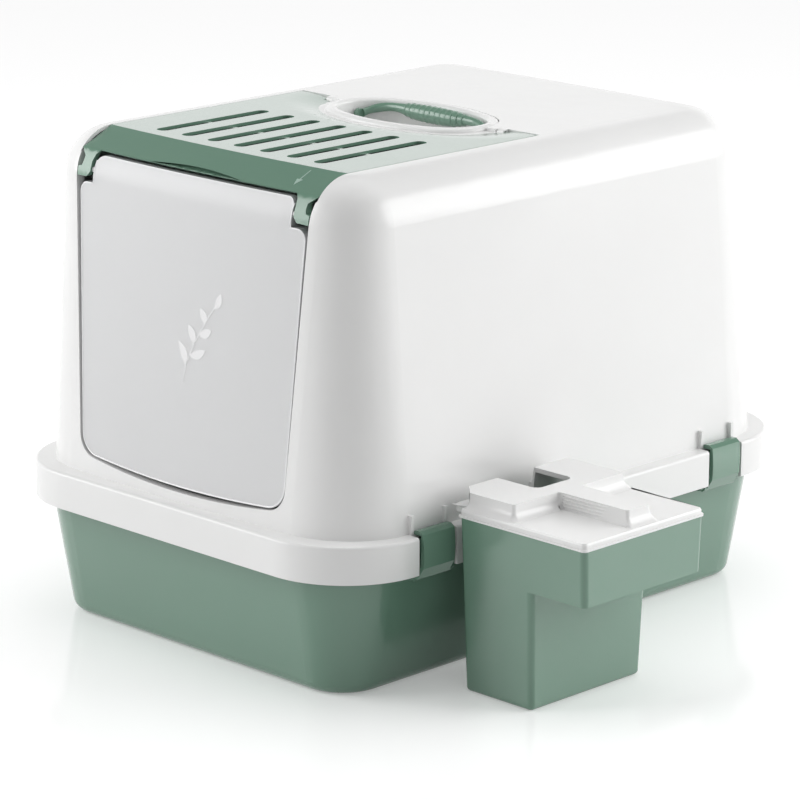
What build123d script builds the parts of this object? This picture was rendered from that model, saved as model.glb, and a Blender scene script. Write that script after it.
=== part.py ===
from build123d import *
import os
from functools import cache
from math import hypot

os.makedirs("parts", exist_ok=True)

# ------------------------------------------------------------------ driving dimensions, mm
# X runs to the right, Y to the back, Z up. The tray stands on z = 0, centred on X and Y.

# fits and clearances
PIN_FIT = 0.06            # radial clearance of a moulded pin in its bore
REST_GAP = 0.3            # between two pieces that only rest near each other
COVER_GAP = 0.8           # cover edge to the hatch edge of the hood
WELL_GAP = 2.0            # cover edge to the raised rim of the handle well
RIM_GAP = 0.8             # tray rim inside the skirt

# hood shell: outline at its foot and, before the top edge is rounded, at its top
WALL = 3.0
HOOD_FOOT = 133.0
HOOD_TOP = 416.0
FOOT_HALF_X, FOOT_FRONT, FOOT_BACK, FOOT_RADIUS = 196.2, -266.0, 266.0, 68.0
TOP_HALF_X, TOP_FRONT, TOP_BACK, TOP_RADIUS = 179.6, -250.0, 232.6, 46.0
TOP_ROUND = 40.0
FRONT_BOW, BACK_BOW = 7.0, 4.0            # how far the two ends bulge

# skirt round the hood's foot
SKIRT_X, SKIRT_Y, SKIRT_RADIUS = 418.0, 560.0, 78.0
SKIRT_LOW = 102.0
SKIRT_ROUND = 2.5

# tray
TRAY_FLOOR_X, TRAY_FLOOR_Y, TRAY_FLOOR_RADIUS = 348.0, 496.0, 39.0
TRAY_DRAFT = 9.2          # degrees
TRAY_ROUND = 10.0
TRAY_LIP = 11.0           # depth of the rim's turned-down lip

# doorway in the front of the hood
JAMB_LOW, JAMB_HIGH = 121.9, 138.4        # half-widths at the sill and at the brow
SILL_Z = 140.8
SILL_SAG = 8.9
SILL_ROUND = 20.0
BROW_Z = 402.0
JAMB_DEPTH = 8.0
FRAME_WIDTH = 10.0        # the doorway's edge is split off the hood in seven pieces
FRAME_SILL_X, FRAME_BEND_Z, FRAME_JAMB_Z = 96.0, 155.0, 178.0

# lift-up cover
COVER_HALF_X = 138.4
COVER_SKIN = 2.6
HINGE_Y, HINGE_Z = 8.5, 413.0
BARREL_RADIUS = HOOD_TOP - HINGE_Z
BARREL_IN, BARREL_OUT = 104.5, 137.9
COVER_PIN = 1.6
KNUCKLE_IN, KNUCKLE_OUT = 97.0, 104.0
COVER_BACK = 3.0          # rear edge between the hinge barrels
SEAT_WIDTH = 8.0
SEAT_FRONT = -212.0
SLOT_COUNT, SLOT_PITCH, SLOT_WIDTH = 7, 30.9, 12.0
SLOT_FRONT, SLOT_BACK = -197.0, -75.0
SCOOP_HALF, SCOOP_RISE, SCOOP_DEPTH = 58.0, 5.3, 3.0
SCOOP_SLOPE = 0.4         # rise of the scoop's floor for each mm inward

# ears of the cover that carry the flap
EAR_IN, EAR_ARM, EAR_FOOT = 120.0, 131.0, 136.0
EAR_LOW = 380.0
EAR_BACK = -238.5
FLAP_Y, FLAP_Z = -243.5, 386.0

# swinging flap
FLAP_LOW_HALF, FLAP_HIGH_HALF = 120.6, 133.4
FLAP_LOW, FLAP_SHOULDER, FLAP_TOP = 144.5, 376.0, 398.5
FLAP_SAG, FLAP_ROUND = 5.6, 20.0
FLAP_NECK = 117.0
FLAP_INSET, FLAP_SKIN, FLAP_RIM = 1.5, 2.0, 11.5
FLAP_NECK_RIM = 4.5
FLAP_PIN = 2.5
FLAP_BOSS_IN = 105.0

# handle well and handle
WELL_X, WELL_Y, WELL_END, WELL_CENTRE = 85.5, 50.8, 42.0, 4.0
WELL_RIM, WELL_WALL = 9.5, 3.0
WELL_CREST = 419.0
WELL_FLOOR = 388.0
PIVOT_Y, PIVOT_Z, PIVOT_RADIUS = 13.0, 405.0, 2.5
HUB_RADIUS, HUB_IN, HUB_OUT, PIVOT_OUT = 4.6, 68.5, 72.4, 77.0
BAIL = (                  # half of the bail's centre line: x, y, z, radius
    (68.6, 15.0, 405.9, 3.6),
    (63.4, 23.8, 408.6, 3.6),
    (52.0, 29.8, 411.0, 3.8),
    (39.0, 31.5, 411.4, 4.3),
    (24.0, 32.0, 410.6, 6.6),
    (9.0, 32.0, 410.4, 7.3),
)

# clips
CLIP_Y = 176.0
CLIP_WIDTH = 35.5
CLIP_FOOT_WIDTH = 41.0
CLIP_OUT = 210.4
CLIP_SKIN = 3.5
CLIP_TOP = 136.8
CLIP_AXIS_X, CLIP_AXIS_Z, CLIP_PIN = 200.5, 99.3, 2.0
CLIP_BARREL = 3.8
NOTCH_WIDTH = 43.0
NOTCH_LEDGE = 3.1         # ledge left between the notch and the hood wall
GUIDE_PITCH, GUIDE_THICK = 39.0, 3.0
GUIDE_TOP = 148.5

# filter under the slots
FILTER_HALF_X, FILTER_FRONT, FILTER_BACK = 112.0, -204.0, -66.0
FILTER_DEEP, FILTER_BAR = 9.0, 4.0
PAD_THICK = 4.0

# caddy: outline on the floor and at its mouth
CADDY_WALL = 2.5
CADDY_LOW_X, CADDY_LOW_Y = (221.5, 351.0), (-158.0, -28.0)
CADDY_MOUTH_X, CADDY_MOUTH_Y = (220.5, 353.5), (-165.0, -24.0)
CADDY_LEG_LOW, CADDY_LEG_HIGH = 294.0, 297.0
CADDY_STEP, CADDY_TOP = 100.0, 146.0
CADDY_RADIUS, CADDY_FOOT = 5.0, 4.0

# caddy lid
LID_LEFT, LID_TAB_FRONT = 205.4, -154.6
LID_FLANGE, LID_TIER, LID_STEP, TIER_CHAMFER = 1.6, 2.6, 1.2, 0.9
LID_PROUD = 0.8           # how far the flange stands out past the bin
LID_RADIUS = 4.0
LID_SKIN = 2.2
DOME_TOP = 165.0
STRIP_LEFT, STRIP_RIGHT, STRIP_FRONT, STRIP_BACK = 211.0, 272.0, -157.0, -27.6
STEM_RIGHT, STEM_FRONT, STEM_BACK = 344.0, -105.0, -79.0
DOME_DRAFT, DOME_CORNER = 2.0, 13.5
SLOT_RIGHT, SLOT_NEAR, SLOT_FAR = 254.0, -111.0, -68.0
SLOT_LIP, SLOT_LIP_WALL = 4.4, 1.8
LID_RING = 6.0
GRIP_LINES = 5


# ------------------------------------------------------------------ drawing helpers
def closed_face(*edges):
    return make_face(list(edges))


def round_corners(sketch, radius, points):
    """Rounds the corners of a flat sketch that lie nearest the given points."""
    chosen = []
    for x, y in points:
        chosen.append(min(sketch.vertices(), key=lambda v: abs(v.X - x) + abs(v.Y - y)))
    return fillet(chosen, radius)


def both_sides(points):
    return [(sign * x, y) for x, y in points for sign in (-1, 1)]


def front_prism(sketch, y_front, y_back):
    """Extrudes a front-view sketch, drawn in X and Z, from y_front back to y_back."""
    return extrude(Plane.XZ.offset(-y_back) * sketch, amount=y_back - y_front)


def span_box(x0, x1, y0, y1, z0, z1):
    centre = Pos((x0 + x1) / 2, (y0 + y1) / 2, (z0 + z1) / 2)
    return centre * Box(x1 - x0, y1 - y0, z1 - z0)


def rod_x(radius, x0, x1, y, z):
    return Pos((x0 + x1) / 2, y, z) * Rot(0, 90, 0) * Cylinder(radius, x1 - x0)


def rod_y(radius, y0, y1, x, z):
    return Pos(x, (y0 + y1) / 2, z) * Rot(90, 0, 0) * Cylinder(radius, y1 - y0)


def rounded_plate(size_x, size_y, radius, z0, z1):
    return Pos(0, 0, z0) * extrude(RectangleRounded(size_x, size_y, radius), amount=z1 - z0)


def mirrored_pair(shape):
    return shape + mirror(shape, about=Plane.YZ)


def blend(z, z0, z1, low, high):
    return low + (high - low) * (z - z0) / (z1 - z0)


def frustum(low_x, low_y, high_x, high_y, z_low, z_high):
    """A solid with flat sloping walls between a rectangle at z_low and one at z_high."""
    rings = []
    for (x0, x1), (y0, y1), z in ((low_x, low_y, z_low), (high_x, high_y, z_high)):
        rings.append([Vector(x0, y0, z), Vector(x1, y0, z), Vector(x1, y1, z), Vector(x0, y1, z)])
    low, high = rings
    walls = [Face(Wire.make_polygon(low)), Face(Wire.make_polygon(high))]
    for i in range(4):
        j = (i + 1) % 4
        walls.append(Face(Wire.make_polygon([low[i], low[j], high[j], high[i]])))
    return Solid(Shell(walls))


def shrink(span, inset):
    return (span[0] + inset, span[1] - inset)


# ------------------------------------------------------------------ hood outline and openings
def hood_section(z, inset):
    """The hood's bowed, rounded outline at height z, moved inward by inset."""
    half_x = blend(z, HOOD_FOOT, HOOD_TOP, FOOT_HALF_X, TOP_HALF_X) - inset
    y_front = blend(z, HOOD_FOOT, HOOD_TOP, FOOT_FRONT, TOP_FRONT) + inset
    y_back = blend(z, HOOD_FOOT, HOOD_TOP, FOOT_BACK, TOP_BACK) - inset
    radius = blend(z, HOOD_FOOT, HOOD_TOP, FOOT_RADIUS, TOP_RADIUS) - inset
    front = y_front + FRONT_BOW
    back = y_back - BACK_BOW
    outline = closed_face(
        ThreePointArc((-half_x, front), (0, y_front), (half_x, front)),
        Line((half_x, front), (half_x, back)),
        ThreePointArc((half_x, back), (0, y_back), (-half_x, back)),
        Line((-half_x, back), (-half_x, front)),
    )
    return Pos(0, 0, z) * fillet(outline.vertices(), radius)


@cache
def hood_body(inset, z_low=HOOD_FOOT):
    """The solid inside the hood's outer surface moved inward by inset."""
    body = loft([hood_section(z_low, inset), hood_section(HOOD_TOP - inset, inset)], ruled=True)
    return fillet(body.edges().group_by(Axis.Z)[-1], TOP_ROUND - inset)


def hood_skin(outer_inset, inner_inset, z_low=HOOD_FOOT):
    return hood_body(outer_inset, z_low) - hood_body(inner_inset, z_low)


def doorway(grow=0.0):
    """The doorway seen from the front: sloped jambs over a bowed sill."""
    low, high = JAMB_LOW + grow, JAMB_HIGH + grow
    corner = SILL_Z + SILL_SAG - grow
    sketch = closed_face(
        ThreePointArc((-low, corner), (0, SILL_Z - grow), (low, corner)),
        Line((low, corner), (high, BROW_Z)),
        Line((high, BROW_Z), (-high, BROW_Z)),
        Line((-high, BROW_Z), (-low, corner)),
    )
    return round_corners(sketch, SILL_ROUND + grow, both_sides([(low, corner)]))


def oval(inset):
    """The well's oval outline moved inward by inset: two long arcs and two tight ones."""
    half_x, half_y, end = WELL_X - inset, WELL_Y - inset, WELL_END - inset
    end_x = half_x - end
    long = (end_x ** 2 + half_y ** 2 - end ** 2) / (2 * (half_y - end))
    reach = hypot(end_x, long - half_y)
    x, y = end_x + end * end_x / reach, end * (long - half_y) / reach
    outline = closed_face(
        ThreePointArc((-x, -y), (0, -half_y), (x, -y)),
        ThreePointArc((x, -y), (half_x, 0), (x, y)),
        ThreePointArc((x, y), (0, half_y), (-x, y)),
        ThreePointArc((-x, y), (-half_x, 0), (-x, -y)),
    )
    return Pos(0, WELL_CENTRE, 0) * outline


def well_oval(inset, z0, z1):
    return Pos(0, 0, z0) * extrude(oval(inset), amount=z1 - z0)


# ------------------------------------------------------------------ hood
def make_hood():
    flange_inner = (SKIRT_X - 2 * WALL, SKIRT_Y - 2 * WALL, SKIRT_RADIUS - WALL)
    skirt = rounded_plate(SKIRT_X, SKIRT_Y, SKIRT_RADIUS, SKIRT_LOW, HOOD_FOOT)
    skirt = fillet(skirt.faces().sort_by(Axis.Z)[-1].edges(), SKIRT_ROUND)
    skirt -= rounded_plate(*flange_inner, SKIRT_LOW, HOOD_FOOT - WALL)
    outer = hood_body(0)
    hood = skirt + outer - hood_body(WALL, HOOD_FOOT - WALL)

    # thicker return round the doorway
    jamb = outer - hood_body(JAMB_DEPTH, HOOD_FOOT - WALL)
    hood += jamb & front_prism(doorway(WALL), FOOT_FRONT - WALL, TOP_FRONT + 2 * TOP_ROUND)

    # seat under the cover's edges, deeper along the hinge
    seat_x = COVER_HALF_X + COVER_GAP + WALL
    seat_back = HINGE_Y + BARREL_RADIUS + COVER_GAP + WALL
    seat_in = COVER_SKIN + REST_GAP
    seat_plan = span_box(-seat_x, seat_x, SEAT_FRONT, seat_back, WELL_FLOOR, HOOD_TOP)
    hinge_plan = span_box(-seat_x, seat_x, HINGE_Y - 2 * SEAT_WIDTH, seat_back, WELL_FLOOR, HOOD_TOP)
    hood += hood_skin(WALL - 1, seat_in + COVER_SKIN) & seat_plan
    hood += hood_skin(WALL - 1, seat_in + 2 * WALL) & hinge_plan

    # seat ring for the handle well
    seat_z = HOOD_TOP - seat_in
    hood += well_oval(-SEAT_WIDTH / 2, seat_z - 2 * WALL, HOOD_TOP - 1)
    hood -= well_oval(-REST_GAP, seat_z, WELL_CREST)
    hood -= well_oval(WELL_RIM - WELL_WALL - REST_GAP, WELL_FLOOR, WELL_CREST)

    # hatch: the pocket the cover drops into, then the hole inside the seat
    hatch_x = COVER_HALF_X + COVER_GAP
    hatch_back = HINGE_Y + BARREL_RADIUS + COVER_GAP
    pocket = span_box(-hatch_x, hatch_x, FOOT_FRONT, hatch_back, HOOD_TOP - seat_in, WELL_CREST)
    pocket -= span_box(-KNUCKLE_IN + 1, KNUCKLE_IN - 1, COVER_BACK + WELL_GAP, hatch_back,
                       HOOD_TOP - 2 * seat_in, HOOD_TOP)
    hood -= pocket
    hole_x = hatch_x - SEAT_WIDTH
    hole = span_box(-hole_x, hole_x, SEAT_FRONT - 1, HINGE_Y - 2 * SEAT_WIDTH + WALL,
                    WELL_FLOOR - 2 * WALL, WELL_CREST)
    hood -= hole - well_oval(-SEAT_WIDTH, WELL_FLOOR - 2 * WALL, WELL_CREST)
    hood -= span_box(-hatch_x, hatch_x, FOOT_FRONT, SEAT_FRONT, BROW_Z - 4, WELL_CREST)
    hood -= front_prism(doorway(), FOOT_FRONT - WALL, SEAT_FRONT)

    # cover hinge: a trough for each barrel and a knuckle with a bore
    trough = rod_x(BARREL_RADIUS + COVER_GAP / 2, KNUCKLE_OUT, hatch_x, HINGE_Y, HINGE_Z)
    hood -= mirrored_pair(trough)
    knuckle = rod_x(BARREL_RADIUS, KNUCKLE_IN, KNUCKLE_OUT, HINGE_Y, HINGE_Z)
    knuckle += span_box(KNUCKLE_IN, KNUCKLE_OUT, HINGE_Y, seat_back, HINGE_Z - 5, HOOD_TOP)
    hood += mirrored_pair(knuckle)
    bore = rod_x(COVER_PIN + PIN_FIT, KNUCKLE_IN - 1, KNUCKLE_OUT + 1, HINGE_Y, HINGE_Z)
    hood -= mirrored_pair(bore)

    # notches in the skirt and the guide ribs above them
    notch_in = FOOT_HALF_X + NOTCH_LEDGE
    for y in (-CLIP_Y, CLIP_Y):
        notch = span_box(notch_in, SKIRT_X, y - NOTCH_WIDTH / 2, y + NOTCH_WIDTH / 2,
                         SKIRT_LOW - 1, HOOD_FOOT + 1)
        hood -= mirrored_pair(notch)
        for side in (-1, 1):
            hood += mirrored_pair(guide_rib(y + side * GUIDE_PITCH / 2))
    return hood


def split_hood():
    """The hood and the seven pieces of the doorway's edge, which lie flush in it."""
    whole = make_hood()
    zone = front_prism(doorway(FRAME_WIDTH), FOOT_FRONT - WALL, TOP_FRONT + 2 * TOP_ROUND)
    zone &= span_box(-FOOT_HALF_X, FOOT_HALF_X, FOOT_FRONT - WALL, TOP_FRONT + 2 * TOP_ROUND,
                     HOOD_FOOT, BROW_Z)
    frame = whole & zone
    far = 2 * FOOT_HALF_X
    middle = span_box(-FRAME_SILL_X, FRAME_SILL_X, -far, far, HOOD_FOOT, HOOD_TOP)
    pieces = {"hood": whole - zone, "door_sill": frame & middle}
    for side_name, side in (("left", -1), ("right", 1)):
        ends = sorted((side * FRAME_SILL_X, side * far))
        levels = (("door_foot_", HOOD_FOOT, FRAME_BEND_Z), ("door_corner_", FRAME_BEND_Z, FRAME_JAMB_Z),
                  ("door_jamb_", FRAME_JAMB_Z, HOOD_TOP))
        for name, low, high in levels:
            pieces[name + side_name] = frame & span_box(*ends, -far, far, low, high)
    return pieces


def guide_rib(y):
    """A small wedge on the hood wall beside a clip."""
    wall_top = blend(GUIDE_TOP, HOOD_FOOT, HOOD_TOP, FOOT_HALF_X, TOP_HALF_X)
    profile = closed_face(Polyline(
        (FOOT_HALF_X - WALL, HOOD_FOOT - WALL / 2),
        (FOOT_HALF_X + NOTCH_LEDGE, HOOD_FOOT - WALL / 2),
        (FOOT_HALF_X + NOTCH_LEDGE, HOOD_FOOT),
        (wall_top + 4.4, GUIDE_TOP),
        (wall_top - WALL, GUIDE_TOP),
        close=True,
    ))
    return front_prism(profile, y - GUIDE_THICK / 2, y + GUIDE_THICK / 2)


# ------------------------------------------------------------------ handle well
def make_well():
    """A cup with a rounded rim that drops into the hood's seat ring."""
    seat_z = HOOD_TOP - COVER_SKIN - REST_GAP
    rim = well_oval(0, seat_z, WELL_CREST)
    rim = fillet(rim.faces().sort_by(Axis.Z)[-1].edges(), 0.95 * WELL_RIM / 2)
    well = rim + well_oval(WELL_RIM - WELL_WALL, WELL_FLOOR - WELL_WALL, seat_z)
    well -= well_oval(WELL_RIM, WELL_FLOOR, WELL_CREST)
    inner_edge = well.faces().sort_by(Axis.Z)[-1].inner_wires()[0].edges()
    well = fillet(inner_edge, 0.8 * WELL_RIM / 2)
    return well - mirrored_pair(rod_x(PIVOT_RADIUS + PIN_FIT, HUB_IN, WELL_X, PIVOT_Y, PIVOT_Z))


# ------------------------------------------------------------------ tray
def make_tray():
    mouth_z = HOOD_FOOT - WALL

    def pan(inset):
        floor = RectangleRounded(TRAY_FLOOR_X - 2 * inset, TRAY_FLOOR_Y - 2 * inset,
                                 TRAY_FLOOR_RADIUS - inset)
        body = extrude(floor, amount=mouth_z, taper=-TRAY_DRAFT)
        body = fillet(body.edges().group_by(Axis.Z)[0], TRAY_ROUND - inset)
        return Pos(0, 0, inset) * body

    inner_gap = WALL + RIM_GAP
    rim_x, rim_y = SKIRT_X - 2 * inner_gap, SKIRT_Y - 2 * inner_gap
    rim_radius = SKIRT_RADIUS - inner_gap
    lip_in = (rim_x - 2 * WALL, rim_y - 2 * WALL, rim_radius - WALL)
    rim = rounded_plate(rim_x, rim_y, rim_radius, mouth_z - TRAY_LIP, mouth_z)
    rim -= rounded_plate(*lip_in, mouth_z - TRAY_LIP, mouth_z - WALL)
    tray = pan(0) + rim

    # a bar on two brackets for each clip
    bracket_in = CLIP_FOOT_WIDTH / 2 + 0.4
    bracket_out = bracket_in + 3.5
    for y in (-CLIP_Y, CLIP_Y):
        bar = rod_y(CLIP_PIN, y - bracket_out, y + bracket_out, CLIP_AXIS_X, CLIP_AXIS_Z)
        for side in (-1, 1):
            ends = sorted((y + side * bracket_in, y + side * bracket_out))
            bar += rod_y(CLIP_PIN + 0.4, *ends, CLIP_AXIS_X, CLIP_AXIS_Z)
            bar += span_box(TRAY_FLOOR_X / 2, CLIP_AXIS_X, *ends,
                            CLIP_AXIS_Z - CLIP_PIN - 0.4, CLIP_AXIS_Z + CLIP_PIN + 0.4)
        tray += mirrored_pair(bar)
    return tray - pan(WALL)


# ------------------------------------------------------------------ lift-up cover
def ear():
    """The right ear seen from the front: an arm with a foot turned outward."""
    sketch = closed_face(Polyline(
        (EAR_IN - 6, BROW_Z + 1),
        (EAR_IN - 4.5, BROW_Z),
        (EAR_IN - 1.2, BROW_Z - 3.5),
        (EAR_IN, BROW_Z - 9),
        (EAR_IN, EAR_LOW + 5),
        (EAR_IN + 4, EAR_LOW + 0.5),
        (EAR_FOOT, EAR_LOW),
        (EAR_FOOT, EAR_LOW + 7.5),
        (EAR_ARM + 1, EAR_LOW + 8.5),
        (EAR_ARM, EAR_LOW + 12),
        (EAR_ARM, BROW_Z - 6),
        (COVER_HALF_X - 4, BROW_Z - 3.5),
        (COVER_HALF_X, BROW_Z - 0.5),
        (COVER_HALF_X, BROW_Z + 1),
        close=True,
    ))
    return sketch


def make_cover():
    skin = hood_skin(0, COVER_SKIN)
    plan = span_box(-COVER_HALF_X, COVER_HALF_X, FOOT_FRONT, COVER_BACK, BROW_Z, HOOD_TOP)
    for side in (-1, 1):
        ends = sorted((side * BARREL_IN, side * BARREL_OUT))
        plan += span_box(*ends, COVER_BACK, HINGE_Y, BROW_Z, HOOD_TOP)
    plan -= well_oval(-WELL_GAP, BROW_Z, HOOD_TOP)
    cover = skin & plan

    slot = SlotOverall(SLOT_BACK - SLOT_FRONT, SLOT_WIDTH, rotation=90)
    for i in range(SLOT_COUNT):
        x = (i - (SLOT_COUNT - 1) / 2) * SLOT_PITCH
        place = Pos(x, (SLOT_FRONT + SLOT_BACK) / 2, HOOD_TOP - 2 * COVER_SKIN)
        cover -= place * extrude(slot, amount=4 * COVER_SKIN)

    # finger scoop in the brow: a floor that faces up, under an arched wall
    def lens(grow):
        half, rise = SCOOP_HALF + grow, SCOOP_RISE + grow
        return front_prism(closed_face(
            ThreePointArc((-half, BROW_Z), (0, BROW_Z + rise), (half, BROW_Z)),
            Line((half, BROW_Z), (-half, BROW_Z)),
        ), FOOT_FRONT, FLAP_Y + TOP_ROUND)

    brow_y = FLAP_Y + 2
    floor_line = BROW_Z + 0.6
    reach = 3 * SCOOP_DEPTH
    above_floor = closed_face(Polyline(
        (brow_y - reach, floor_line - SCOOP_SLOPE * reach), (brow_y - reach, floor_line + reach),
        (brow_y + reach, floor_line + reach), (brow_y + reach, floor_line + SCOOP_SLOPE * reach),
        close=True,
    ))
    above_floor = extrude(Plane.YZ * above_floor, amount=2 * SCOOP_HALF, both=True)
    cover += hood_skin(COVER_SKIN / 2, SCOOP_DEPTH + COVER_SKIN) & lens(COVER_SKIN)
    cover -= lens(0) & above_floor & hood_skin(-1, SCOOP_DEPTH)

    # ears with blind bores for the flap's stubs
    lug = front_prism(ear(), FOOT_FRONT, EAR_BACK) & hood_body(0)
    lug -= rod_x(FLAP_PIN + PIN_FIT, EAR_IN - 1, EAR_ARM - 2, FLAP_Y, FLAP_Z)
    cover += mirrored_pair(lug)

    # bead barrels along the rear edge with a pin at the inner end
    barrel = rod_x(BARREL_RADIUS, BARREL_IN, BARREL_OUT, HINGE_Y, HINGE_Z)
    barrel += rod_x(COVER_PIN, KNUCKLE_IN + 0.5, BARREL_IN + 1, HINGE_Y, HINGE_Z)
    return cover + mirrored_pair(barrel)


def make_filter_frame():
    top = HOOD_TOP - COVER_SKIN
    depth = (FILTER_FRONT, FILTER_BACK)
    frame = span_box(-FILTER_HALF_X, FILTER_HALF_X, *depth, top - FILTER_DEEP, top)
    cell_x = FILTER_HALF_X - FILTER_BAR
    hollow = span_box(-cell_x, cell_x, depth[0] + FILTER_BAR, depth[1] - FILTER_BAR,
                      top - FILTER_DEEP, top)
    frame -= hollow
    middle = (FILTER_FRONT + FILTER_BACK) / 2
    frame += span_box(-cell_x, cell_x, middle - 2, middle + 2, top - 2, top)
    lip = span_box(-cell_x, cell_x, depth[0] + FILTER_BAR, depth[1] - FILTER_BAR,
                   top - FILTER_DEEP, top - FILTER_DEEP + 1.5)
    lip -= span_box(-cell_x + FILTER_BAR, cell_x - FILTER_BAR, depth[0] + 2 * FILTER_BAR,
                    depth[1] - 2 * FILTER_BAR, top - FILTER_DEEP, top)
    return frame + lip


def make_filter_pad():
    cell_x = FILTER_HALF_X - FILTER_BAR - REST_GAP
    low = HOOD_TOP - COVER_SKIN - FILTER_DEEP + 1.5
    return span_box(-cell_x, cell_x, FILTER_FRONT + FILTER_BAR + REST_GAP,
                    FILTER_BACK - FILTER_BAR - REST_GAP, low, low + PAD_THICK)


# ------------------------------------------------------------------ swinging flap
def flap_outline(inset=0.0):
    """The flap seen from the front: a panel with sloped sides and a narrower neck on top."""
    low, high, neck = FLAP_LOW_HALF - inset, FLAP_HIGH_HALF - inset, FLAP_NECK - inset
    corner = FLAP_LOW + FLAP_SAG + inset
    shoulder, top = FLAP_SHOULDER - inset, FLAP_TOP - inset
    sketch = closed_face(
        ThreePointArc((-low, corner), (0, FLAP_LOW + inset), (low, corner)),
        Polyline((low, corner), (high, shoulder), (neck, shoulder), (neck, top),
                 (-neck, top), (-neck, shoulder), (-high, shoulder), (-low, corner)),
    )
    sketch = round_corners(sketch, FLAP_ROUND - inset, both_sides([(low, corner)]))
    sketch = round_corners(sketch, 9 - inset, both_sides([(high, shoulder)]))
    return round_corners(sketch, 9 - inset, both_sides([(neck, top)]))


def make_flap():
    y_back = FLAP_Y + TOP_ROUND
    whole = front_prism(flap_outline(), FOOT_FRONT, y_back)
    inner = front_prism(flap_outline(FLAP_SKIN), FOOT_FRONT, y_back)
    face_body = hood_body(FLAP_INSET)
    panel = (face_body - hood_body(FLAP_INSET + FLAP_SKIN)) & whole
    ring = whole - inner
    deep = ring & (face_body - hood_body(FLAP_INSET + FLAP_RIM))
    deep &= span_box(-FLAP_HIGH_HALF, FLAP_HIGH_HALF, FOOT_FRONT, y_back, FLAP_LOW, FLAP_SHOULDER)
    shallow = ring & (face_body - hood_body(FLAP_INSET + FLAP_NECK_RIM))
    flap = panel + deep + shallow

    # bosses behind the neck, each with a stub that turns in an ear
    boss = span_box(FLAP_BOSS_IN, FLAP_NECK, FOOT_FRONT, FLAP_Y + 4.5, FLAP_SHOULDER, FLAP_Z + 8)
    boss &= face_body
    boss += rod_x(FLAP_PIN, FLAP_BOSS_IN, EAR_ARM - 2.5, FLAP_Y, FLAP_Z)
    return flap + mirrored_pair(boss)


# ------------------------------------------------------------------ clips
def make_clip():
    """The right front clip, drawn as a side profile in X and Z."""
    inner = CLIP_OUT - CLIP_SKIN
    hook_low = HOOD_FOOT + REST_GAP
    tip = FOOT_HALF_X + 1.0
    bevel = CLIP_OUT - CLIP_AXIS_X - CLIP_BARREL + 1.2
    knee = CLIP_AXIS_Z + bevel
    profile = closed_face(
        Polyline((CLIP_AXIS_X, CLIP_AXIS_Z), (CLIP_AXIS_X, CLIP_AXIS_Z + CLIP_BARREL),
                 (CLIP_AXIS_X + 2.5, CLIP_AXIS_Z + CLIP_BARREL), (inner, knee + 1.5),
                 (inner, hook_low), (tip, hook_low), (tip, CLIP_TOP - 1.4),
                 (tip + 3.5, CLIP_TOP), (CLIP_OUT - 4.5, CLIP_TOP), (CLIP_OUT - 1, CLIP_TOP - 2.5),
                 (CLIP_OUT - 0.6, CLIP_TOP - 6)),
        ThreePointArc((CLIP_OUT - 0.6, CLIP_TOP - 6), (CLIP_OUT, (CLIP_TOP + knee) / 2),
                      (CLIP_OUT - 0.6, knee)),
        Polyline((CLIP_OUT - 0.6, knee), (CLIP_AXIS_X + 3.1, CLIP_AXIS_Z - 2.2),
                 (CLIP_AXIS_X, CLIP_AXIS_Z)),
    )
    clip = front_prism(profile, -CLIP_WIDTH / 2, CLIP_WIDTH / 2)
    clip += rod_y(CLIP_BARREL, -CLIP_FOOT_WIDTH / 2, CLIP_FOOT_WIDTH / 2, CLIP_AXIS_X, CLIP_AXIS_Z)
    clip -= rod_y(CLIP_PIN + PIN_FIT, -CLIP_FOOT_WIDTH, CLIP_FOOT_WIDTH, CLIP_AXIS_X, CLIP_AXIS_Z)
    return clip


# ------------------------------------------------------------------ handle
def make_handle():
    """A bail that swells into its grip, with hubs that turn in the walls of the well."""
    stations = list(BAIL) + [(-x, y, z, radius) for x, y, z, radius in reversed(BAIL)]
    path = Spline(*[station[:3] for station in stations])
    sections = []
    for x, y, z, radius in stations:
        at = path.param_at_point((x, y, z))
        sections.append(Plane(origin=(x, y, z), z_dir=path % at) * Circle(radius))
    handle = loft(sections)
    hub = rod_x(HUB_RADIUS, HUB_IN, HUB_OUT, PIVOT_Y, PIVOT_Z)
    hub += rod_x(PIVOT_RADIUS, HUB_IN, PIVOT_OUT, PIVOT_Y, PIVOT_Z)
    return handle + mirrored_pair(hub)


# ------------------------------------------------------------------ caddy
def caddy_solid(inset, extra=0.0):
    """The bin: one drafted box with its lower outer quarter cut away, so it hangs over a leg."""
    whole = frustum(shrink(CADDY_LOW_X, inset), shrink(CADDY_LOW_Y, inset),
                    shrink(CADDY_MOUTH_X, inset), shrink(CADDY_MOUTH_Y, inset), inset, CADDY_TOP)
    away = 2 * CADDY_TOP
    cut = frustum((CADDY_LEG_LOW - inset, away * 2), (-away, away), (CADDY_LEG_HIGH - inset, away * 2),
                  (-away, away), -1, CADDY_STEP + inset)
    body = whole - cut
    upright = [e for e in body.edges() if e.geom_type == GeomType.LINE
               and abs(e.tangent_at(0.5).Z) > 0.9]
    body = fillet(upright, CADDY_RADIUS - inset)
    foot = body.faces().sort_by(Axis.Z)[0].edges()
    return fillet(foot, CADDY_FOOT - inset / 2)


def make_caddy_body():
    mouth_x, mouth_y = shrink(CADDY_MOUTH_X, CADDY_WALL), shrink(CADDY_MOUTH_Y, CADDY_WALL)
    return caddy_solid(0) - caddy_solid(CADDY_WALL)


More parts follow.
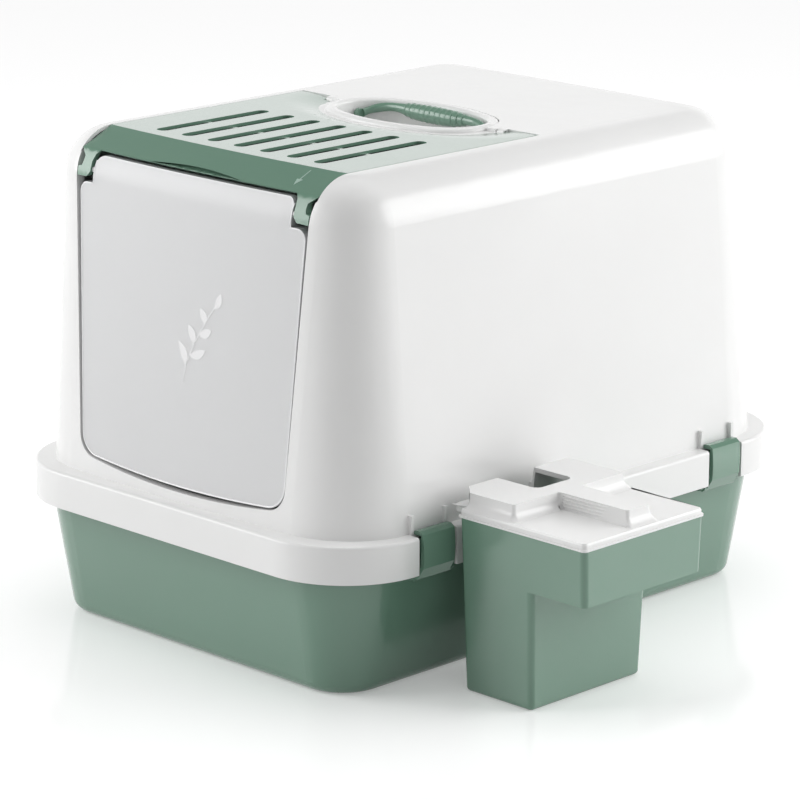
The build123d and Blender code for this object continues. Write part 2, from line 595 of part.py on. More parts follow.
def dome(inset, z_low):
    """The T-shaped dome with drafted walls, moved inward by inset, from z_low up."""
    base = CADDY_TOP + LID_FLANGE + LID_TIER
    top = DOME_TOP - inset

    def outline(z):
        g = blend(z, base, DOME_TOP, DOME_DRAFT, 0) - inset
        cut = DOME_CORNER + g
        corners = [(STRIP_LEFT - g, STRIP_FRONT + cut), (STRIP_LEFT + cut, STRIP_FRONT - g)]
        corners += [(STRIP_RIGHT + g, STRIP_FRONT - g), (STRIP_RIGHT + g, STRIP_BACK + g),
                    (STRIP_LEFT - g, STRIP_BACK + g)]
        stem = [(STRIP_RIGHT - 8, STEM_FRONT - g), (STEM_RIGHT + g, STEM_FRONT - g),
                (STEM_RIGHT + g, STEM_BACK + g), (STRIP_RIGHT - 8, STEM_BACK + g)]
        return [[Vector(x, y, z) for x, y in corners], [Vector(x, y, z) for x, y in stem]]

    solid = None
    for low, high in zip(outline(z_low), outline(top)):
        walls = [Face(Wire.make_polygon(low)), Face(Wire.make_polygon(high))]
        for i in range(len(low)):
            j = (i + 1) % len(low)
            walls.append(Face(Wire.make_polygon([low[i], low[j], high[j], high[i]])))
        prism = Solid(Shell(walls))
        solid = prism if solid is None else solid + prism
    return solid


def lid_plan(grow):
    left, right = CADDY_MOUTH_X[0] - 1.0 - grow, CADDY_MOUTH_X[1] + grow
    front, back = CADDY_MOUTH_Y[0] - grow, CADDY_MOUTH_Y[1] + grow
    plan = closed_face(Polyline(
        (LID_LEFT, LID_TAB_FRONT), (left, LID_TAB_FRONT), (left, front), (right, front),
        (right, back), (LID_LEFT, back), close=True,
    ))
    return round_corners(plan, LID_RADIUS, [
        (right, front), (right, back), (LID_LEFT, LID_TAB_FRONT), (LID_LEFT, back), (left, front)])


def make_caddy_lid():
    tier_z = CADDY_TOP + LID_FLANGE
    base = tier_z + LID_TIER
    lid = Pos(0, 0, CADDY_TOP) * extrude(lid_plan(LID_PROUD), amount=LID_FLANGE)
    tier = Pos(0, 0, tier_z) * extrude(lid_plan(LID_PROUD - LID_STEP), amount=LID_TIER)
    lid += chamfer(tier.faces().sort_by(Axis.Z)[-1].edges(), TIER_CHAMFER)
    raised = dome(0, base)
    upright = [e for e in raised.edges() if e.geom_type == GeomType.LINE
               and abs(e.tangent_at(0.5).Z) > 0.5]
    lid += fillet(upright, 3.0)
    lid -= dome(LID_SKIN, CADDY_TOP - 1)

    # ring that drops inside the bin's mouth
    ring_low = CADDY_TOP - LID_RING
    gap = CADDY_WALL + 2 * REST_GAP
    outer_x, outer_y = shrink(CADDY_MOUTH_X, gap), shrink(CADDY_MOUTH_Y, gap)
    inner_x, inner_y = shrink(outer_x, LID_SKIN), shrink(outer_y, LID_SKIN)
    ring = span_box(*outer_x, *outer_y, ring_low, CADDY_TOP)
    ring = fillet(ring.edges().filter_by(Axis.Z), CADDY_RADIUS - CADDY_WALL)
    lid += ring - span_box(*inner_x, *inner_y, ring_low, CADDY_TOP)

    # open slot for the scoop's stem, with a short turned lip
    slot = closed_face(Polyline(
        (LID_LEFT - 5, SLOT_NEAR), (SLOT_RIGHT, SLOT_NEAR), (SLOT_RIGHT, SLOT_FAR),
        (LID_LEFT - 5, SLOT_FAR), close=True,
    ))
    slot = round_corners(slot, 7, [(SLOT_RIGHT, SLOT_NEAR), (SLOT_RIGHT, SLOT_FAR)])
    collar = extrude(offset(slot, SLOT_LIP_WALL), amount=SLOT_LIP)
    lid += Pos(0, 0, DOME_TOP - SLOT_LIP) * collar & dome(LID_SKIN / 2, base)
    lid -= Pos(0, 0, ring_low - 1) * extrude(slot, amount=DOME_TOP)

    # grip lines on the stem's front wall
    pitch = (DOME_TOP - base) / (GRIP_LINES + 1)
    for i in range(GRIP_LINES):
        z = base + (i + 1) * pitch
        y = STEM_FRONT - blend(z, base, DOME_TOP, DOME_DRAFT, 0)
        lid += span_box(STRIP_RIGHT + 8, STEM_RIGHT - 6, y - 0.8, y + 1, z - 0.6, z + 0.6)
    return lid


# ------------------------------------------------------------------ write the pieces
right_clip = make_clip()
left_clip = mirror(right_clip, about=Plane.YZ)

pieces = {
    "tray": make_tray(),
    **split_hood(),
    "handle_well": make_well(),
    "roof_cover": make_cover(),
    "swing_door": make_flap(),
    "latch_front_right": Pos(0, -CLIP_Y, 0) * right_clip,
    "latch_rear_right": Pos(0, CLIP_Y, 0) * right_clip,
    "latch_front_left": Pos(0, -CLIP_Y, 0) * left_clip,
    "latch_rear_left": Pos(0, CLIP_Y, 0) * left_clip,
    "carry_handle": make_handle(),
    "filter_frame": make_filter_frame(),
    "filter_pad": make_filter_pad(),
    "caddy_body": make_caddy_body(),
    "caddy_lid": make_caddy_lid(),
}

for name, shape in pieces.items():
    export_step(shape, f"parts/{name}.step")
    print(name, "solids", len(shape.solids()), "volume", round(shape.volume))
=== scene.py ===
from math import cos, hypot, pi, radians, sin, sqrt

import bmesh
import bpy
from mathutils import Matrix, Vector
from mathutils.bvhtree import BVHTree


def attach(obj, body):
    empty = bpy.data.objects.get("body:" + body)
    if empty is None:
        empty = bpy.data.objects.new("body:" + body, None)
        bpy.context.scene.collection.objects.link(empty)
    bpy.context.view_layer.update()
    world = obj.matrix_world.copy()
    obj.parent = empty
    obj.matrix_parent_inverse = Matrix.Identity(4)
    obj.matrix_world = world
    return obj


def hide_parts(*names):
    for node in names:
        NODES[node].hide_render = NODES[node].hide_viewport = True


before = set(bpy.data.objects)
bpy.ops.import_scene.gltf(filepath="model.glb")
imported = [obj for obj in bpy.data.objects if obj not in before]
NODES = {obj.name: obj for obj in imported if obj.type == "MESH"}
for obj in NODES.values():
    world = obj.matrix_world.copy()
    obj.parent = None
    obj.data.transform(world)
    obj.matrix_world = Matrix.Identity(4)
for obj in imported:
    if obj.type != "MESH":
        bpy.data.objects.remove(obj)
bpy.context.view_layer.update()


# ------------------------------------------------------------------ camera
LENS, SENSOR, SHIFT, VIEW_DEPTH = 169.32, 36.0, (-0.00824, -0.00105), 50.0
CAMERA_AT = (2.178465, -2.217503, 1.012205)
CAMERA_FORWARD = (-0.676304, 0.688423, -0.262083)
CAMERA_UP = (-0.186857, 0.183822, 0.965036)


def linked(name, data):
    """A new object with this data, in the scene."""
    item = bpy.data.objects.new(name, data)
    bpy.context.scene.collection.objects.link(item)
    return item


def make_camera():
    """The photograph's viewpoint: from the front right, a little above, through a long lens."""
    data = bpy.data.cameras.new("photo_camera")
    data.sensor_width = SENSOR
    data.lens = LENS
    data.shift_x, data.shift_y = SHIFT
    data.clip_end = VIEW_DEPTH
    camera = linked("photo_camera", data)
    forward = Vector(CAMERA_FORWARD).normalized()
    right = forward.cross(Vector(CAMERA_UP)).normalized()
    up = right.cross(forward).normalized()
    turn = Matrix((right, up, -forward)).transposed()
    camera.matrix_world = Matrix.Translation(CAMERA_AT) @ turn.to_4x4()
    bpy.context.scene.camera = camera


# ------------------------------------------------------------------ node helpers
def new_material(name):
    material = bpy.data.materials.new(name)
    material.use_nodes = True
    tree = material.node_tree
    tree.nodes.clear()
    out = tree.nodes.new("ShaderNodeOutputMaterial")
    shader = tree.nodes.new("ShaderNodeBsdfPrincipled")
    tree.links.new(shader.outputs["BSDF"], out.inputs["Surface"])
    return material, tree, shader


def noise(tree, scale, detail=3.0):
    node = tree.nodes.new("ShaderNodeTexNoise")
    node.inputs["Scale"].default_value = scale
    node.inputs["Detail"].default_value = detail
    where = tree.nodes.new("ShaderNodeTexCoord")
    tree.links.new(where.outputs["Object"], node.inputs["Vector"])
    return node.outputs["Fac"]


def spread(tree, value, low, high):
    node = tree.nodes.new("ShaderNodeMapRange")
    node.inputs["From Min"].default_value = 0.3
    node.inputs["From Max"].default_value = 0.7
    node.inputs["To Min"].default_value = low
    node.inputs["To Max"].default_value = high
    tree.links.new(value, node.inputs["Value"])
    return node.outputs["Result"]


def blend_colors(tree, value, low, high):
    node = tree.nodes.new("ShaderNodeMix")
    node.data_type = "RGBA"
    node.inputs["A"].default_value = (*low, 1)
    node.inputs["B"].default_value = (*high, 1)
    tree.links.new(value, node.inputs["Factor"])
    return node.outputs["Result"]


def bump(tree, shader, value, strength, distance):
    node = tree.nodes.new("ShaderNodeBump")
    node.inputs["Strength"].default_value = strength
    node.inputs["Distance"].default_value = distance
    tree.links.new(value, node.inputs["Height"])
    tree.links.new(node.outputs["Normal"], shader.inputs["Normal"])


def shaded(color, factor):
    return tuple(min(1.0, c * factor) for c in color)


FLOW_MARK = 0.015          # how far flow marks lighten or darken a plastic


def gloss_plastic(name, color, rough=(0.2, 0.26), coat=0.0, coat_ior=1.5):
    """Moulded plastic: faint flow marks in the colour, an uneven gloss and a fine orange peel."""
    material, tree, shader = new_material(name)
    flow = noise(tree, 7.0)
    tint = blend_colors(tree, spread(tree, flow, 0.0, 1.0), shaded(color, 1 - FLOW_MARK),
                        shaded(color, 1 + FLOW_MARK))
    tree.links.new(tint, shader.inputs["Base Color"])
    tree.links.new(spread(tree, noise(tree, 24.0), *rough), shader.inputs["Roughness"])
    shader.inputs["IOR"].default_value = 1.5
    shader.inputs["Coat Weight"].default_value = coat
    shader.inputs["Coat Roughness"].default_value = 0.12
    shader.inputs["Coat IOR"].default_value = coat_ior
    bump(tree, shader, noise(tree, 420.0, 1.0), 0.12, 0.00004)
    return material


def frosted_plastic(name, color):
    """Translucent flap plastic with a fine satin grain."""
    material, tree, shader = new_material(name)
    haze = spread(tree, noise(tree, 6.0), 0.0, 1.0)
    tint = blend_colors(tree, haze, shaded(color, 1 - FLOW_MARK), color)
    tree.links.new(tint, shader.inputs["Base Color"])
    tree.links.new(spread(tree, noise(tree, 900.0), 0.34, 0.42), shader.inputs["Roughness"])
    shader.inputs["IOR"].default_value = 1.45
    shader.inputs["Transmission Weight"].default_value = 0.3
    bump(tree, shader, noise(tree, 1500.0, 2.0), 0.15, 0.00008)
    return material


def felt(name, color):
    material, tree, shader = new_material(name)
    fibres = noise(tree, 700.0, 6.0)
    tint = blend_colors(tree, fibres, shaded(color, 0.5), shaded(color, 1.8))
    tree.links.new(tint, shader.inputs["Base Color"])
    shader.inputs["Roughness"].default_value = 0.95
    bump(tree, shader, fibres, 0.6, 0.0008)
    return material


def dress(node, material):
    mesh = NODES[node].data
    mesh.materials.clear()
    mesh.materials.append(material)


# ------------------------------------------------------------------ reshaped copies of CAD nodes
MM = 0.001
CUT, WELD, SHARP = 1e-6, 2e-6, radians(32)


def reshaped(node, body, move, planes=(), crease=None):
    """A copy of a node's mesh, cut along planes and moved point by point, that stands for it.

    move gets a point and its normal and returns the new point."""
    bm = bmesh.new()
    bm.from_mesh(NODES[node].data)
    for point, normal in planes:
        everything = bm.verts[:] + bm.edges[:] + bm.faces[:]
        bmesh.ops.bisect_plane(bm, geom=everything, dist=CUT, plane_co=point, plane_no=normal)
    bmesh.ops.remove_doubles(bm, verts=bm.verts, dist=WELD)
    sharp = [edge for edge in bm.edges if crease and crease(*(v.co / MM for v in edge.verts))]
    bm.normal_update()
    normals = [vert.normal.copy() for vert in bm.verts]
    for vert, normal in zip(bm.verts, normals):
        vert.co = Vector(move(*(vert.co / MM), normal)) * MM
    for face in bm.faces:
        face.smooth = True
    for edge in bm.edges:
        edge.smooth = len(edge.link_faces) == 2 and edge.calc_face_angle(0.0) <= SHARP
    for edge in sharp:
        edge.smooth = False
    mesh = bpy.data.meshes.new(node + "_shape")
    bm.to_mesh(mesh)
    bm.free()
    piece = linked(node + "_shape", mesh)
    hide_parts(node)
    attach(piece, body)
    return piece


def new_piece(name, body, verts, faces, material, smooth=True):
    """A piece of its own that moves with a body; its points are in millimetres."""
    mesh = bpy.data.meshes.new(name)
    mesh.from_pydata([Vector(v) * MM for v in verts], [], faces)
    mesh.materials.append(material)
    piece = linked(name, mesh)
    if smooth:
        mesh.shade_smooth()
    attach(piece, body)
    return piece


# cover: the front breaks from the flat top into a straight sloping strip, and the
# top dips towards the well
FRONT_Y, FRONT_HALF, FRONT_BOW = -250.0, 179.6, 7.0
BOW_CENTRE = FRONT_Y + (FRONT_HALF ** 2 + FRONT_BOW ** 2) / (2 * FRONT_BOW)
BROW_AT, CREASE_AT = (-242.6, 402.0), (-212.2, 416.0)
ROUND, BROW_FADE, ON_ARC = 40.0, 4, 0.5
DISH_FROM_Y, DISH_FROM_Z = -70, 405
DISH_OUT, DISH_IN, DISH_DEPTH, WELL_AT = (136.0, 71.0), (87.5, 52.8), 3.4, 4.0


def along(x, y):
    """Distance along Y, measured on the middle, of the bowed line through a point."""
    return BOW_CENTRE - hypot(x, y - BOW_CENTRE)


def strip_z(t):
    share = (t - BROW_AT[0]) / (CREASE_AT[0] - BROW_AT[0])
    return BROW_AT[1] + share * (CREASE_AT[1] - BROW_AT[1])


def dish(x, y):
    """How far the cover's top lies below its flat at a point near the well."""
    outer = hypot(x / DISH_OUT[0], (y - WELL_AT) / DISH_OUT[1])
    inner = hypot(x / DISH_IN[0], (y - WELL_AT) / DISH_IN[1])
    if outer >= 1:
        return 0.0
    share = min(1.0, (1 - outer) / max(1e-6, 1 - outer + max(0.0, inner - 1)))
    return DISH_DEPTH * share * share * (3 - 2 * share)


def move_cover(x, y, z, normal):
    t = along(x, y)
    if BROW_AT[0] < t < CREASE_AT[0] and z > BROW_AT[1] - BROW_FADE:
        arc = CREASE_AT[1] - ROUND + sqrt(max(0.0, ROUND ** 2 - (t - CREASE_AT[0]) ** 2))
        fade = min(1.0, (z - BROW_AT[1] + BROW_FADE) / BROW_FADE)
        sag = (arc - strip_z(t)) * fade
        if abs(z - arc) < ON_ARC:
            return x, y, strip_z(t)
        return x, y, z - sag
    if y > DISH_FROM_Y and z > DISH_FROM_Z:
        return x, y, z - dish(x, y)
    return x, y, z


def on_crease(a, b):
    """Whether an edge between two points lies on the cover's crease."""
    return all(abs(p[2] - CREASE_AT[1]) < 0.02 and abs(along(p[0], p[1]) - CREASE_AT[0]) < 0.8
               for p in (a, b))


WELL_RIM, WELL_CREST_WAS, WELL_CREST_IS = 410, 9.0, 6.9


def move_well(x, y, z, normal):
    """The rim's crest lies only a little above the roof."""
    if z < WELL_RIM:
        return x, y, z
    return x, y, WELL_RIM + (z - WELL_RIM) * WELL_CREST_IS / WELL_CREST_WAS


# handle: rings round the grip
BAIL = ((39.0, 31.5, 411.4, 4.3), (24.0, 32.0, 410.6, 6.6), (9.0, 32.0, 410.4, 7.3),
        (-9.0, 32.0, 410.4, 7.3), (-24.0, 32.0, 410.6, 6.6), (-39.0, 31.5, 411.4, 4.3))


def bail_at(x):
    """Centre and radius of the grip at x, on straight lines between the stations."""
    for a, b in zip(BAIL, BAIL[1:]):
        if b[0] <= x <= a[0]:
            share = (a[0] - x) / (a[0] - b[0])
            return [p + (q - p) * share for p, q in zip(a, b)]
    return BAIL[-1]


RINGS, RING_FROM, RING_PITCH = 12, 36.0, 6.0
RING_THICK, RING_HALF_WIDTH, RING_SUNK = 0.5, 1.1, 0.15


def grip_rings(material):
    """Low rounded rings round the handle's grip."""
    verts, faces = [], []
    around, across = 40, 8
    for i in range(RINGS):
        x, y, z, radius = bail_at(RING_FROM - i * RING_PITCH)
        first = len(verts)
        for j in range(around):
            a = 2 * pi * j / around
            for k in range(across):
                b = 2 * pi * k / across
                r = radius - RING_SUNK + RING_THICK * cos(b)
                verts.append((x + RING_HALF_WIDTH * sin(b), y + r * cos(a), z + r * sin(a)))
        for j in range(around):
            for k in range(across):
                n, m = (j + 1) % around, (k + 1) % across
                faces.append((first + j * across + k, first + n * across + k,
                              first + n * across + m, first + j * across + m))
    return new_piece("grip_rings", "handle", verts, faces, material)


# caddy lid: a thicker plate, raised parts that flare at their foot, ridges on the stem
PLATE_LOW, PLATE_TOP, PLATE_RISE = 147.6, 150.2, 2.0
STRIP_X, STRIP_Y = (211.0, 272.0), (-157.0, -27.6)
STEM_END, STEM_Y = 344.0, (-105.0, -79.0)
SLOT_X, SLOT_Y = 257.0, (-114.0, -65.0)
DOME_TOP, DRAFT, FLARE, FLARE_HEIGHT = 165.0, 2.0, 4.5, 8.0


def stem_front(z):
    """Y of the stem's front wall at height z."""
    return STEM_Y[0] - DRAFT * (DOME_TOP - z) / (DOME_TOP - PLATE_TOP)


def flare(x, y, z, normal):
    """How far a point of a raised part's wall moves outward."""
    if z < PLATE_TOP - 0.1 or (x < SLOT_X and SLOT_Y[0] < y < SLOT_Y[1]):
        return 0.0
    on_stem = x > STRIP_X[1] + 3 and STEM_Y[0] - 4 < y < STEM_Y[1] + 4
    if on_stem:
        outer = normal.x > 0.3 and abs(x - STEM_END) < 4.5
    else:
        outer = normal.x > 0.3 and abs(x - STRIP_X[1]) < 4
        outer = outer or (normal.y < -0.3 and abs(y - STRIP_Y[0]) < 4 and x < STRIP_X[1] + 4)
    low = max(0.0, 1 - (z - PLATE_TOP) / FLARE_HEIGHT)
    return FLARE * low * low if outer else 0.0


def lid_height(z):
    """The plate's top moves up; the raised parts above it are pressed together, their top stays."""
    raised = PLATE_TOP + PLATE_RISE
    if z <= PLATE_LOW or z >= DOME_TOP:
        return z
    if z <= PLATE_TOP:
        return PLATE_LOW + (z - PLATE_LOW) * (raised - PLATE_LOW) / (PLATE_TOP - PLATE_LOW)
    return raised + (z - PLATE_TOP) * (DOME_TOP - raised) / (DOME_TOP - PLATE_TOP)


def move_lid(x, y, z, normal):
    amount = flare(x, y, z, normal)
    way = Vector((normal.x, normal.y, 0))
    if amount and way.length > 0.1:
        way.normalize()
        x, y = x + way.x * amount, y + way.y * amount
    if z > PLATE_TOP + 0.3 and x > STRIP_X[1] + 6 and stem_front(z) - 3 < y < stem_front(z) - 0.2:
        y = stem_front(z)
    return x, y, lid_height(z)


RIDGES, RIDGE_FROM_Z, RIDGE_PITCH = 4, 155.0, 2.6
RIDGE_X, RIDGE_LENGTH, RIDGE_RADIUS, RIDGE_SUNK = 276.5, 50.0, 0.95, 0.3


def stem_ridges(material):
    """Four rounded ridges along the stem's front wall, fading out to the right."""
    verts, faces = [], []
    steps, across = 16, 6
    for i in range(RIDGES):
        z = RIDGE_FROM_Z + i * RIDGE_PITCH
        first = len(verts)
        for j in range(steps + 1):
            x = RIDGE_X + j * RIDGE_LENGTH / steps
            fade = min(1.0, (1 - j / steps) * 2.2, 0.35 + j)
            for k in range(across + 1):
                a = pi * k / across
                out = (RIDGE_SUNK + RIDGE_RADIUS * fade) * sin(a)
                verts.append((x, stem_front(z) + RIDGE_SUNK - out, z + RIDGE_RADIUS * cos(a)))
        row = across + 1
        for j in range(steps):
            for k in range(across):
                n = first + j * row + k
                faces.append((n, n + row, n + row + 1, n + 1))
            n = first + j * row
            faces.append((n, n + across, n + row + across, n + row))
        faces.append(tuple(first + k for k in range(row)))
        faces.append(tuple(first + steps * row + k for k in reversed(range(row))))
    return new_piece("stem_ridges", "caddy_top", verts, faces, material)


# flap: a bright bead round the edge of its face
BEAD_RADIUS, BEAD_INWARD, BEAD_BACK = 0.8, 0.8, 0.3


def chains(pairs):
    """Polylines made of edges, each edge given by its two end points' numbers."""
    links = {}
    for a, b in pairs:
        links.setdefault(a, []).append(b)
        links.setdefault(b, []).append(a)
    lines, seen = [], set()
    for start in sorted(links, key=lambda n: len(links[n])):
        for step in links[start]:
            if (start, step) in seen:
                continue
            line = [start]
            here, ahead = start, step
            while ahead is not None and (here, ahead) not in seen:
                seen.update(((here, ahead), (ahead, here)))
                line.append(ahead)
                beyond = [n for n in links[ahead] if (ahead, n) not in seen]
                here, ahead = ahead, beyond[0] if beyond else None
            if len(line) > 2:
                lines.append(line)
    return lines


def face_bead(name, node, body, material, radius, inward):
    """A round bead that follows the outer edge of a node's front face."""
    bm = bmesh.new()
    bm.from_mesh(NODES[node].data)
    bmesh.ops.remove_doubles(bm, verts=bm.verts, dist=WELD)
    bm.normal_update()
    pairs, side = [], {}
    for edge in bm.edges:
        if len(edge.link_faces) != 2:
            continue
        a, b = sorted(edge.link_faces, key=lambda face: face.normal.y)
        if a.normal.y < -0.8 and abs(b.normal.y) < 0.5 and edge.calc_length() > 2e-5:
            ends = tuple(v.index for v in edge.verts)
            pairs.append(ends)
            for end in ends:
                side[end] = side.get(end, Vector()) + b.normal
    corners, back = bm.verts[:], Vector((0, BEAD_BACK, 0)) * MM
    points = {end: corners[end].co - way.normalized() * inward * MM + back
              for end, way in side.items()}
    bm.free()
    curve = bpy.data.curves.new(name, "CURVE")
    curve.dimensions = "3D"
    curve.bevel_depth = radius * MM
    curve.bevel_resolution = 2
    for line in chains(pairs):
        spline = curve.splines.new("POLY")
        closed = line[0] == line[-1]
        line = line[:-1] if closed else line
        spline.points.add(len(line) - 1)
        spline.use_cyclic_u = closed
        for point, end in zip(spline.points, line):
            point.co = (*points[end], 1)
    holder = bpy.data.objects.new(name + "_path", curve)
    mesh = bpy.data.meshes.new_from_object(holder)
    bpy.data.objects.remove(holder)
    mesh.shade_smooth()
    mesh.materials.clear()
    mesh.materials.append(material)
    piece = linked(name, mesh)
    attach(piece, body)
    return piece


PLATE_SUNK = 0.3


def plate_on(name, body, outlines, place, lift, material):
    """Thin raised shapes: each outline is a strip of point pairs laid on a surface by place."""
    verts, faces = [], []
    for strip in outlines:
        first = len(verts)
        for pair in strip:
            for point in pair:
                spot, up = place(*point)
                verts += [spot + up * lift, spot - up * PLATE_SUNK]
        for i in range(len(strip) - 1):
            a, b = first + 4 * i, first + 4 * (i + 1)
            faces += [(a, a + 2, b + 2, b), (a + 1, b + 1, b + 3, a + 3),
                      (a, b, b + 1, a + 1), (a + 2, a + 3, b + 3, b + 2)]
        last = first + 4 * (len(strip) - 1)
        faces += [(first, first + 1, first + 3, first + 2), (last, last + 2, last + 3, last + 1)]
    return new_piece(name, body, verts, faces, material, smooth=False)


def on_strip(x, t):
    """A point of the cover's sloping front strip, and the strip's normal there."""
    y = BOW_CENTRE - sqrt((BOW_CENTRE - t) ** 2 - x * x)
    slope = Vector((0, -(CREASE_AT[1] - BROW_AT[1]), CREASE_AT[0] - BROW_AT[0])).normalized()
    return Vector((x, y, strip_z(t))), slope


def on_flap(x, z):
    """The point of the flap's face straight behind (x, z), and its normal."""
    spot, normal, _, _ = FLAP_TREE.ray_cast(Vector((x, -300, z)) * MM, Vector((0, 1, 0)))
    return spot / MM, normal


def leaf(x, z, turn, length, width):
    """A pointed leaf from its stalk at (x, z), as pairs of points across its middle line."""
    strip = []
    for i in range(13):
        share = i / 12
        half = width / 2 * sin(pi * share) ** 0.8 + 0.05
        bend = turn + 0.35 * (share - 0.5)
        cx, cz = x + length * share * cos(bend), z + length * share * sin(bend)
        strip.append(((cx - half * sin(bend), cz + half * cos(bend)),
                      (cx + half * sin(bend), cz - half * cos(bend))))
    return strip


def sprig():
    """A plain sprig: one bent stem with leaves on both sides."""
    stem = [(2 + 34 * (i / 14) ** 1.5, 232 + 66 * i / 14) for i in range(15)]
    outlines = [[((x - 0.6, z), (x + 0.6, z)) for x, z in stem]]
    for i, side in ((3, 1), (5, -1), (7, 1), (9, -1), (11, 1)):
        turn = radians(58 + side * 48)
        outlines.append(leaf(*stem[i], turn, 24 - i, 7.5))
    outlines.append(leaf(*stem[-1], radians(50), 15, 7))
    return outlines


ARROW = ([((103.8, -216.5), (104.8, -216.5)), ((103.6, -229.0), (105.0, -229.0))],
         [((101.2, -228.0), (107.4, -228.0)), ((104.2, -235.0), (104.4, -235.0))])


# ------------------------------------------------------------------ stage
def math_node(tree, operation, first, second):
    """A math node's output; each input is a socket or a number."""
    node = tree.nodes.new("ShaderNodeMath")
    node.operation = operation
    for place, value in zip(node.inputs, (first, second)):
        if isinstance(value, (int, float)):
            place.default_value = value
        else:
            tree.links.new(value, place)
    return node.outputs[0]


def smooth_range(tree, value, limits):
    """Map a socket smoothly; limits are from low, from high, to low, to high."""
    node = tree.nodes.new("ShaderNodeMapRange")
    node.interpolation_type = "SMOOTHSTEP"
    for name, limit in zip(("From Min", "From Max", "To Min", "To Max"), limits):
        node.inputs[name].default_value = limit
    tree.links.new(value, node.inputs["Value"])
    return node.outputs["Result"]


def seen_directly(tree):
    """1 for camera, glossy and transmission rays, 0 for the rays that light the object."""
    path = tree.nodes.new("ShaderNodeLightPath")
    value = path.outputs["Is Camera Ray"]
    for ray in ("Is Glossy Ray", "Is Transmission Ray"):
        value = math_node(tree, "MAXIMUM", value, path.outputs[ray])
    return value


def make_stage():
    """A white floor that keeps the object's shadow, under an even white surround."""
    bpy.ops.mesh.primitive_plane_add(size=60.0, location=(0, 0, -0.0003))
    floor = bpy.context.object
    floor.name = "stage_floor"
    material = bpy.data.materials.new("stage_white")
    material.use_nodes = True
    tree = material.node_tree
    tree.nodes.clear()
    out = tree.nodes.new("ShaderNodeOutputMaterial")
    shader = tree.nodes.new("ShaderNodeBsdfPrincipled")
    shader.inputs["Base Color"].default_value = (0.88, 0.88, 0.88, 1)
    shader.inputs["Roughness"].default_value = 0.14
    shader.inputs["Specular IOR Level"].default_value = 0.3
    glow = tree.nodes.new("ShaderNodeEmission")
    glow.inputs["Color"].default_value = (1, 1, 1, 1)
    lift = math_node(tree, "MULTIPLY", seen_directly(tree), FLOOR_LIFT)
    tree.links.new(lift, glow.inputs["Strength"])
    add = tree.nodes.new("ShaderNodeAddShader")
    tree.links.new(shader.outputs["BSDF"], add.inputs[0])
    tree.links.new(glow.outputs[0], add.inputs[1])
    tree.links.new(add.outputs[0], out.inputs["Surface"])
    floor.data.materials.append(material)

    world = bpy.data.worlds.new("studio")
    world.use_nodes = True
    tree = world.node_tree
    tree.nodes.clear()
    out = tree.nodes.new("ShaderNodeOutputWorld")
    plain = tree.nodes.new("ShaderNodeBackground")
    plain.inputs["Color"].default_value = (1, 1, 1, 1)
    plain.inputs["Strength"].default_value = WORLD_LIGHT
    seen = tree.nodes.new("ShaderNodeBackground")
    seen.inputs["Color"].default_value = (1, 1, 1, 1)
    where = tree.nodes.new("ShaderNodeTexCoord")
    split = tree.nodes.new("ShaderNodeSeparateXYZ")
    tree.links.new(where.outputs["Generated"], split.inputs["Vector"])
    ceiling = smooth_range(tree, split.outputs["Z"], CEILING)
    facing = tree.nodes.new("ShaderNodeVectorMath")
    facing.operation = "DOT_PRODUCT"
    facing.inputs[1].default_value = TO_CAMERA
    tree.links.new(where.outputs["Generated"], facing.inputs[0])
    dark_side = smooth_range(tree, facing.outputs["Value"], DARK_SIDE)
    path = tree.nodes.new("ShaderNodeLightPath")
    both = math_node(tree, "MULTIPLY", ceiling, dark_side)
    strength = math_node(tree, "MAXIMUM", both, path.outputs["Is Camera Ray"])
    tree.links.new(strength, seen.inputs["Strength"])
    mix = tree.nodes.new("ShaderNodeMixShader")
    tree.links.new(seen_directly(tree), mix.inputs["Fac"])
    tree.links.new(plain.outputs[0], mix.inputs[1])
    tree.links.new(seen.outputs[0], mix.inputs[2])
    tree.links.new(mix.outputs[0], out.inputs["Surface"])
    bpy.context.scene.world = world


def softbox(name, location, target, size, power):
    data = bpy.data.lights.new(name, "AREA")
    data.shape = "RECTANGLE"
    data.size, data.size_y = size
    data.energy = power
    lamp = linked(name, data)
    lamp.location = location
    aim = Vector(target) - Vector(location)
    lamp.rotation_euler = aim.to_track_quat("-Z", "Y").to_euler()


# ------------------------------------------------------------------ build the scene
WORLD_LIGHT = 0.45
CEILING = (0.32, 0.62, 1.0, 0.12)      # the white surround ends above this height
DARK_SIDE = (0.55, 0.9, 1.0, 0.2)      # and is dark behind the camera
TO_CAMERA = (0.70, -0.71, 0.0)
FLOOR_LIFT = 0.26
TOP_FACING, TOP_ABOVE = 0.96, 0.411    # cover faces that take the shinier green
SHADED_RIM_FACING = 0.6                       # flap faces that turn less to the front are its rim, painted dark grey as shade
PALE = ("hood", "handle_well", "caddy_lid", "filter_frame")
GRID, LID_LEVELS = 6, (151.4, 152.8, 154.4, 156.2, 158.2)
make_camera()
make_stage()
softbox("left", (-1.9, -1.9, 1.3), (0, 0, 0.2), (2.0, 2.0), 47)
softbox("right", (1.9, 1.9, 1.2), (0, 0, 0.2), (2.2, 2.0), 53)
softbox("top", (0, 0.3, 2.6), (0, 0, 0), (2.4, 2.4), 14)

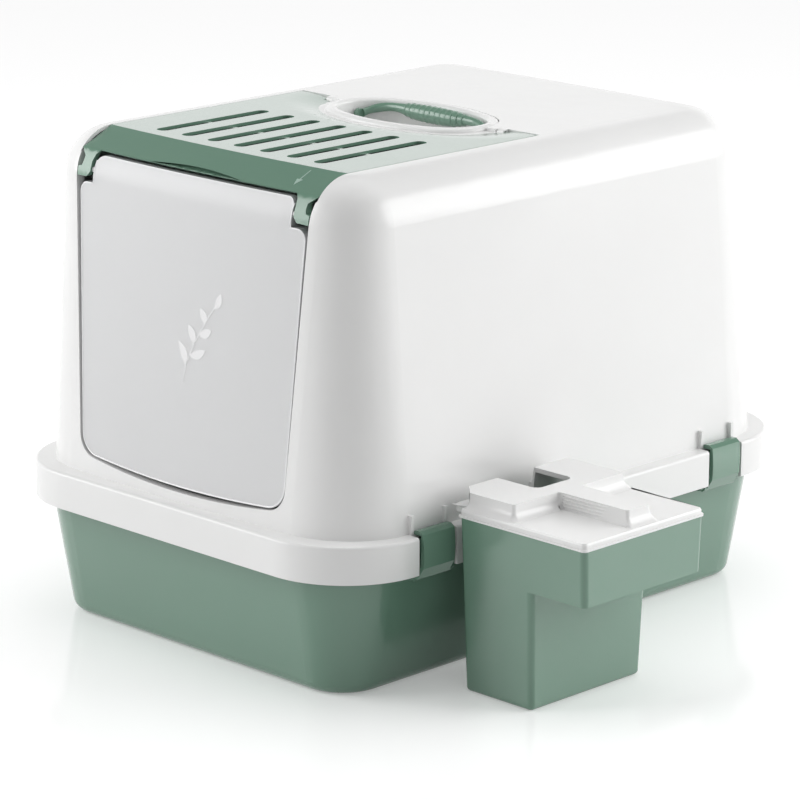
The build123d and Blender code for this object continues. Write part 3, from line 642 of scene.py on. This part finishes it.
WHITE = (0.84, 0.84, 0.835)
GREEN = (0.15, 0.27, 0.2)
white = gloss_plastic("white_moulding", WHITE)
green = gloss_plastic("sage_moulding", GREEN, (0.2, 0.27), coat=0.4)
top_green = gloss_plastic("sage_top", GREEN, (0.16, 0.22), coat=1.0, coat_ior=2.1)
frosted = frosted_plastic("frosted_flap", (0.93, 0.935, 0.94))
# the flap's rim walls are the same frosted plastic as its panel; this dark grey is painted shade
# for the darker band they make behind the panel
rim_painted_shade = gloss_plastic("frosted_rim_painted_shade", (0.42, 0.42, 0.43), (0.3, 0.4))
bead_frost = gloss_plastic("frosted_bead", (0.93, 0.93, 0.94), (0.22, 0.3))
motif_frost = gloss_plastic("frosted_motif", (0.86, 0.86, 0.865), (0.3, 0.4))
mark_green = gloss_plastic("sage_mark", (0.36, 0.5, 0.43), (0.25, 0.3))
carbon = felt("carbon_felt", (0.03, 0.03, 0.03))

for name, node in NODES.items():
    if name in ("swing_door", "filter_pad"):
        continue
    dress(name, white if name in PALE or name.startswith("door_") else green)
dress("swing_door", frosted)
dress("filter_pad", carbon)

grid = [(Vector((x * GRID * MM, 0, 0)), Vector((1, 0, 0))) for x in range(-23, 24)]
grid += [(Vector((0, (y - 11) * GRID * MM, 0)), Vector((0, 1, 0))) for y in range(12)]
cover = reshaped("roof_cover", "cover", move_cover, grid, on_crease)
cover.data.materials.append(green)
cover.data.materials.append(top_green)
for face in cover.data.polygons:
    face.material_index = int(face.normal.z > TOP_FACING and face.center.z > TOP_ABOVE)
well = reshaped("handle_well", "box", move_well)
well.data.materials.append(white)
grip_rings(green)

levels = [(Vector((0, 0, z * MM)), Vector((0, 0, 1))) for z in LID_LEVELS]
lid = reshaped("caddy_lid", "caddy_top", move_lid, levels)
lid.data.materials.append(white)
stem_ridges(white)

door = reshaped("swing_door", "flap", lambda x, y, z, normal: (x, y, z))
door.data.materials.append(frosted)
door.data.materials.append(rim_painted_shade)
# rim faces take the dark grey painted shade
for face in door.data.polygons:
    face.material_index = int(abs(face.normal.y) < SHADED_RIM_FACING)
face_bead("flap_bead", "swing_door", "flap", bead_frost, BEAD_RADIUS, BEAD_INWARD)
FLAP_TREE = BVHTree.FromPolygons([v.co for v in door.data.vertices],
                                 [tuple(face.vertices) for face in door.data.polygons])
plate_on("flap_sprig", "flap", sprig(), on_flap, 0.25, motif_frost)
plate_on("lift_arrow", "cover", ARROW, on_strip, 0.2, mark_green)

bpy.context.scene.view_settings.view_transform = "Standard"
